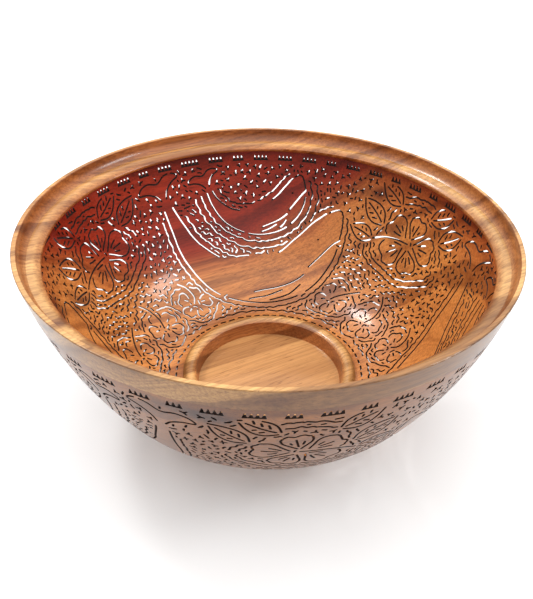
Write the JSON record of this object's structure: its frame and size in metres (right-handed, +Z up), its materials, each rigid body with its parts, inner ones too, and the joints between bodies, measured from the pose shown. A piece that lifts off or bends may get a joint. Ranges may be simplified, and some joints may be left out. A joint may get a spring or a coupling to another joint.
{
  "type": "pierced wooden bowl",
  "caption": "Round turned wooden bowl with a stepped lid ledge, a thin wall pierced all over by fine sawn lines, a beaded round floor and a low foot ring; holds fruit or light things on a table",
  "frame": {"origin": "centre of the foot's underside, on the surface the bowl stands on", "axes": "+Z up along the turning axis; X and Y lie in the table's plane, +Y towards the middle of the large whale motif"},
  "size_m": [0.2797, 0.2797, 0.126],
  "materials": {
    "rim_wood": "gloss lacquer over open-pored reddish-brown hardwood",
    "wall_wood": "gloss lacquer over streaked reddish-brown hardwood, sawn edges dark",
    "floor_wood": "satin lacquer over golden-brown hardwood",
    "foot_wood": "satin lacquer over brown hardwood"
  },
  "bodies": {
    "root": {"rim_ring": "rim_wood", "pierced_wall": "wall_wood", "floor_ring": "rim_wood", "floor_disc": "floor_wood", "foot_ring": "foot_wood"}
  },
  "joints": []
}
